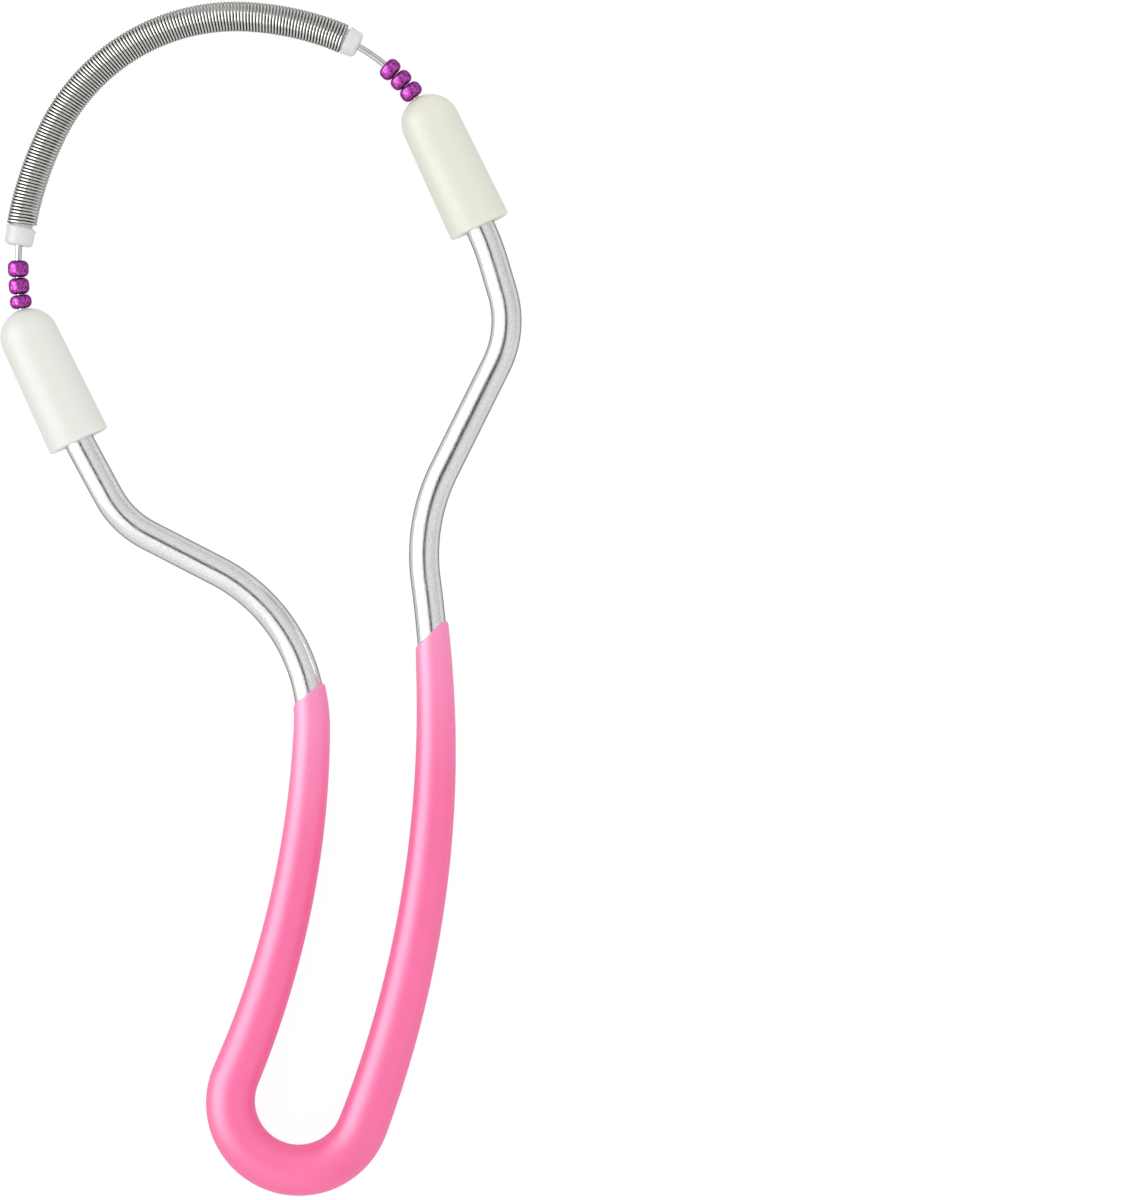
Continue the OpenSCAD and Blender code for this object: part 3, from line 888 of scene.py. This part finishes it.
# Size of the table, and the gap between it and the tool.
TABLE_SIZE = 4
TABLE_GAP = 0.05 * MM
# The table's own grey, the share of plain white in what is seen of it, and the strength of that
# white, with which the lit table is just white.
TABLE_GREY = 0.62
TABLE_WHITE = 0.85
TABLE_GLOW = 1.1
# How much of that white shows in metal, close to the object's own shadow.
TABLE_MIRRORED = 0.4
# The photograph's frame: 1128 x 1200, six pixels to the millimetre, and the place at its middle.
PHOTO_HEIGHT = 200 * MM
PHOTO_MIDDLE = (50.494 * MM, -0.221 * MM)
# Focal length and sensor height of the camera, in its own millimetres.
LENS = 200
SENSOR = 36


def soft_studio():
    """An even white for dull surfaces and the camera, and walls that only gloss and glass see."""
    made = bpy.data.worlds.new("studio")
    made.use_nodes = True
    view = node(made, "ShaderNodeTexCoord").outputs["Generated"]
    across = node(made, "ShaderNodeVectorMath", {0: view, 1: GREY_SIDE}, operation="DOT_PRODUCT")
    side = mapped(made, across.outputs["Value"], source=(-1.0, 1.0))
    walls = ramp(made, side, [(position, grey(level)) for position, level in WALLS])
    height = node(made, "ShaderNodeSeparateXYZ", {"Vector": view}).outputs["Z"]
    dimmed = mapped(made, height, source=(0.0, HORIZON_TOP), target=(HORIZON_LEVEL, 1.0))
    lit = node(made, "ShaderNodeVectorMath", {0: walls, "Scale": dimmed}, operation="SCALE")
    rays = node(made, "ShaderNodeLightPath").outputs
    mirrored = maths(made, "MAXIMUM", rays["Is Glossy Ray"], rays["Is Transmission Ray"])
    shade = node(
        made, "ShaderNodeMix",
        {0: mirrored, 6: (*grey(SOFT_LEVEL), 1), 7: lit.outputs["Vector"]}, data_type="RGBA")
    set_inputs(made, made.node_tree.nodes["Background"], {"Color": shade.outputs[2]})
    return made


def table_white():
    """White for the camera, for metal and for glass, with the object's shadow kept faintly."""
    made, shader = new_material("table_white")
    set_inputs(made, shader, {"Base Color": (*grey(TABLE_GREY), 1), "Roughness": 0.9})
    rays = node(made, "ShaderNodeLightPath").outputs
    mirrored = maths(made, "MULTIPLY", rays["Is Glossy Ray"], TABLE_MIRRORED)
    seen = maths(made, "MAXIMUM", rays["Is Camera Ray"], mirrored)
    seen = maths(made, "MAXIMUM", seen, rays["Is Transmission Ray"])
    share = maths(made, "MULTIPLY", seen, TABLE_WHITE)
    white = node(made, "ShaderNodeEmission", {"Color": (1, 1, 1, 1), "Strength": TABLE_GLOW})
    mixed = node(made, "ShaderNodeMixShader", {
        0: share, 1: shader.outputs["BSDF"], 2: white.outputs["Emission"]})
    output = made.node_tree.nodes["Material Output"]
    set_inputs(made, output, {"Surface": mixed.outputs["Shader"]})
    return made


def set_camera(context):
    """Looks straight down with a long lens, at the height where the photograph's frame fits."""
    data = bpy.data.cameras.new("camera")
    data.lens = LENS
    data.sensor_width = SENSOR
    camera = bpy.data.objects.new("camera", data)
    camera.location = (*PHOTO_MIDDLE, middle_height() + PHOTO_HEIGHT * LENS / SENSOR)
    context.scene.collection.objects.link(camera)
    context.scene.camera = camera


# Operators

class HAIRSPRING_OT_rod(bpy.types.Operator):
    """Bends the bright steel rod and drills its ends for the wire"""

    bl_idname = "hair_spring.rod"
    bl_label = "Rod"

    def execute(self, context):
        rod, wire = setting("rod"), setting("wire")
        route = rod_route()
        piece = bar("bent_rod", rod.diameter, route.length, sides=48)
        socket = wire.diameter + 2 * wire.socket_fit
        depth = rod.socket_depth + wire.socket_fit
        drill_end(piece, 0, -1, rod.diameter, socket, depth)
        drill_end(piece, route.length, 1, rod.diameter, socket, depth)
        bend_along(piece, route)
        finish_piece(piece, drawn_steel("rod_steel"), "tool", "frame_rod")
        return {"FINISHED"}


class HAIRSPRING_OT_grip(bpy.types.Operator):
    """Dips the handle's loop in pink vinyl"""

    bl_idname = "hair_spring.grip"
    bl_label = "Grip"

    def execute(self, context):
        rod, grip = setting("rod"), setting("grip")
        route = rod_route()
        first = rod.insert + grip.left_edge
        last = route.length - rod.insert - grip.right_edge
        loop_middle = route.middle(LOOP_LEG)

        def coat(x):
            """Radius of the coat at a distance along the rod."""
            inside = min(x - first, last - x)
            round_part = min(1.0, inside / grip.lip)
            lip = LIP_SHARE + (1 - LIP_SHARE) * math.sqrt(1 - (1 - round_part) ** 2)
            built_up = grip.full - (grip.full - grip.top) * math.exp(-inside / grip.growth)
            drip = grip.drip * math.exp(-((x - loop_middle) / grip.drip_length) ** 2)
            return rod.diameter / 2 + lip * (built_up + drip)

        steps = math.ceil((last - first - 2 * grip.lip) / RING_STEP)
        rings = [first + grip.lip * share for share in LIP_RINGS]
        rings += spaced(first + grip.lip, last - grip.lip, steps)
        rings += [last - grip.lip * share for share in reversed(LIP_RINGS)]
        bore = rod.diameter / 2 + grip.fit
        profile = [(x, coat(x)) for x in rings] + [(x, bore) for x in spaced(last, first, steps)]
        piece = turned("dipped_grip", profile + profile[:1], sides=64)

        def slanted(places):
            """Slants both edges of the coat, fading out along it."""
            from_left, from_right = places[:, 0] - first, last - places[:, 0]
            share = np.clip(np.minimum(from_left, from_right) / grip.fade, 0, 1)
            fading = 1 - share * share * (3 - 2 * share)
            at_left = from_left < from_right
            slant = np.tan(np.where(at_left, grip.left_slant, grip.right_slant))
            lift = np.tan(np.where(at_left, grip.lift, -grip.lift))
            places[:, 0] -= fading * (places[:, 1] * slant + places[:, 2] * lift)
            return places

        move_points(piece, slanted)
        bend_along(piece, route)
        finish_piece(piece, pink_vinyl(), "tool", "handle_grip")
        return {"FINISHED"}


class HAIRSPRING_OT_sleeves(bpy.types.Operator):
    """Turns the two domed sleeves and pierces their domes for the wire"""

    bl_idname = "hair_spring.sleeves"
    bl_label = "Sleeves"

    def execute(self, context):
        sizes, rod, wire = setting("sleeves"), setting("rod"), setting("wire")
        bore = rod.diameter / 2 + sizes.fit
        bore_end = rod.insert + sizes.fit
        mouth, dome = sizes.mouth / 2, sizes.dome / 2
        dome_at = sizes.length - dome
        rings = 8
        taper = list(zip(spaced(sizes.edge, dome_at, rings), spaced(mouth, dome, rings)))
        profile = [(bore_end, 0), (bore_end, bore), (0, bore)]
        profile += arc(sizes.edge, mouth - sizes.edge, sizes.edge, 180, 90, steps=6)
        profile += taper[1:-1]
        profile += arc(dome_at, 0, dome, 90, 0, steps=24)
        route = wire_route()
        hole = wire.diameter + 2 * sizes.hole_fit
        mouths = {"left": left_mouth(), "right": route.pose(route.length + wire_inset())[:2]}
        for side, (x, y) in mouths.items():
            piece = turned(f"{side}_domed_sleeve", profile, sides=96)
            place(piece, facing(x, y, middle_height(), sleeve_heading()))
            cutter = bar("wire_passage", hole, route.length, sides=32)
            follow(cutter, route)
            apply_modifier(piece, "BOOLEAN", operation="DIFFERENCE", object=cutter, solver="EXACT")
            bpy.data.objects.remove(cutter)
            finish_piece(piece, ivory_plastic(side), "tool", f"{side}_sleeve")
        return {"FINISHED"}


class HAIRSPRING_OT_wire(bpy.types.Operator):
    """Bends the core wire from sleeve to sleeve"""

    bl_idname = "hair_spring.wire"
    bl_label = "Core wire"

    def execute(self, context):
        route = wire_route()
        piece = bar("bowed_wire", setting("wire").diameter, route.length, sides=24)
        bend_along(piece, route)
        finish_piece(piece, drawn_steel("wire_steel"), "tool", "core_wire")
        return {"FINISHED"}


class HAIRSPRING_OT_spring(bpy.types.Operator):
    """Winds the coil and bends it over the wire"""

    bl_idname = "hair_spring.spring"
    bl_label = "Spring"

    def execute(self, context):
        spring = setting("spring")
        middle_radius = (spring.diameter - spring.wire) / 2
        nothing_selected()
        bpy.ops.mesh.primitive_circle_add(
            vertices=16, radius=spring.wire / 2, location=(0, middle_radius, 0))
        piece = bpy.context.object
        piece.name = "wound_spring"
        settle(piece)
        apply_modifier(
            piece, "SCREW", axis="X", angle=2 * math.pi, screw_offset=spring_pitch(),
            iterations=spring.turns, steps=40, render_steps=40, use_smooth_shade=True)
        close_ends()
        underneath = Matrix.Rotation(-math.pi / 2, 4, "X")
        piece.data.transform(Matrix.Translation((spring_at(), 0, 0)) @ underneath)
        bend_along(piece, wire_route())
        finish_piece(piece, spring_steel(), "tool", "coil_spring")
        return {"FINISHED"}


class HAIRSPRING_OT_caps(bpy.types.Operator):
    """Turns the two nylon caps that close the spring"""

    bl_idname = "hair_spring.caps"
    bl_label = "End caps"

    def execute(self, context):
        caps = setting("caps")
        surface = cloudy_nylon()
        route = wire_route()
        hole = setting("wire").diameter / 2 + caps.hole_fit
        stem = caps.stem / 2

        def slanted_rim(places):
            """Slants the rim, but neither the end of the stem nor the bead end."""
            before_stem = places[:, 0] < caps.stem_length / 2
            share = np.clip(1 + places[:, 0] / caps.left_length, 0, 1) * before_stem
            places[:, 0] += share * places[:, 1] * np.tan(caps.slant)
            return places

        for side, rim_at, turn in (("left", left_rim_at(), 0), ("right", right_rim_at(), math.pi)):
            rim = getattr(caps, f"{side}_rim") / 2
            body = getattr(caps, f"{side}_length")
            far = rim - caps.taper / 2
            profile = [(caps.stem_length, hole), (caps.stem_length, stem)]
            if side == "left":
                collar, collar_end = caps.collar / 2, caps.collar_length
                profile += [(collar_end, stem), (collar_end, collar), (0, collar)]
            else:
                profile += [(0, stem)]
            profile += arc(-caps.edge, rim - caps.edge, caps.edge, 0, 90, steps=4)
            if side == "left":
                profile += [(-caps.lip_length, rim - caps.lip)]
            profile += arc(-body + caps.round, far - caps.round, caps.round, 90, 180, steps=8)
            profile += [(-body, hole), (caps.stem_length, hole)]
            piece = turned(f"{side}_nylon_cap", profile, sides=64)
            if side == "left":
                move_points(piece, slanted_rim)
            place(piece, route.matrix(rim_at, middle_height()) @ Matrix.Rotation(turn, 4, "Z"))
            finish_piece(piece, surface, f"{side}_end_cap_body", f"{side}_end_cap")
        return {"FINISHED"}


class HAIRSPRING_OT_beads(bpy.types.Operator):
    """Makes the six lined glass beads and strings them on the wire"""

    bl_idname = "hair_spring.beads"
    bl_label = "Beads"

    def execute(self, context):
        beads = setting("beads")
        glass = purple_glass()
        hole = setting("wire").diameter / 2 + beads.hole_fit
        edge = beads.round
        joints = {joint["child"]: joint for joint in frame["joints"]}
        for side in ("left", "right"):
            for number in (1, 2, 3):
                diameter, bead_length = getattr(beads, f"{side}_{number}")
                radius, half = diameter / 2, bead_length / 2 + beads.swell
                profile = [(-half, hole)]
                profile += arc(-half + edge, radius - edge, edge, 180, 90, steps=8)
                profile += arc(half - edge, radius - edge, edge, 90, 0, steps=8)
                profile += [(half, hole), (-half, hole)]
                piece = turned(f"{side}_glass_bead_{number}", profile, sides=48)
                body = f"{side}_bead_{number}_body"
                joint = joints[body]
                heading = math.atan2(joint["axis"][1], joint["axis"][0])
                place(piece, facing(*joint["pos_m"], heading))
                finish_piece(piece, glass, body, f"{side}_bead_{number}")
        return {"FINISHED"}


class HAIRSPRING_OT_stage(bpy.types.Operator):
    """Sets the white table, the soft studio light and the camera"""

    bl_idname = "hair_spring.stage"
    bl_label = "Stage"

    def execute(self, context):
        nothing_selected()
        bpy.ops.mesh.primitive_plane_add(size=TABLE_SIZE, location=(0, 0, -TABLE_GAP))
        floor = bpy.context.object
        floor.name = "table"
        floor.data.materials.append(table_white())
        for name, place_at, size, power, mirrored in LAMPS:
            bpy.ops.object.light_add(type="AREA", location=place_at)
            lamp = bpy.context.object
            lamp.name = name
            lamp.data.energy = power
            lamp.data.size = size
            lamp.visible_glossy = mirrored
            lamp.visible_diffuse = not mirrored
            lamp.rotation_euler = (-Vector(place_at)).to_track_quat("-Z", "Y").to_euler()
        context.scene.world = soft_studio()
        context.scene.view_settings.view_transform = "Standard"
        set_camera(context)
        return {"FINISHED"}


class HAIRSPRING_PT_panel(bpy.types.Panel):
    """Lists the pieces in the order in which they are made"""

    bl_label = "Hair Spring"
    bl_idname = "HAIRSPRING_PT_panel"
    bl_space_type = "VIEW_3D"
    bl_region_type = "UI"
    bl_category = "Hair Spring"

    def draw(self, context):
        for operator in OPERATORS:
            self.layout.operator(operator.bl_idname)


GROUPS = (
    RodSizes, GripSizes, SleeveSizes, WireSizes, SpringSizes, CapSizes, BeadSizes, Finishes,
    HairSpringSettings,
)
OPERATORS = (
    HAIRSPRING_OT_stage, HAIRSPRING_OT_rod, HAIRSPRING_OT_grip, HAIRSPRING_OT_sleeves,
    HAIRSPRING_OT_wire, HAIRSPRING_OT_spring, HAIRSPRING_OT_caps, HAIRSPRING_OT_beads,
)


def register():
    for group in (*GROUPS, *OPERATORS, HAIRSPRING_PT_panel):
        bpy.utils.register_class(group)
    bpy.types.Scene.hair_spring = bpy.props.PointerProperty(type=HairSpringSettings)


def unregister():
    del bpy.types.Scene.hair_spring
    for group in reversed((*GROUPS, *OPERATORS, HAIRSPRING_PT_panel)):
        bpy.utils.unregister_class(group)


def main():
    register()
    bpy.ops.hair_spring.stage()
    bpy.ops.hair_spring.rod()
    bpy.ops.hair_spring.grip()
    bpy.ops.hair_spring.sleeves()
    bpy.ops.hair_spring.wire()
    bpy.ops.hair_spring.spring()
    bpy.ops.hair_spring.caps()
    bpy.ops.hair_spring.beads()


if __name__ == "__main__":
    main()
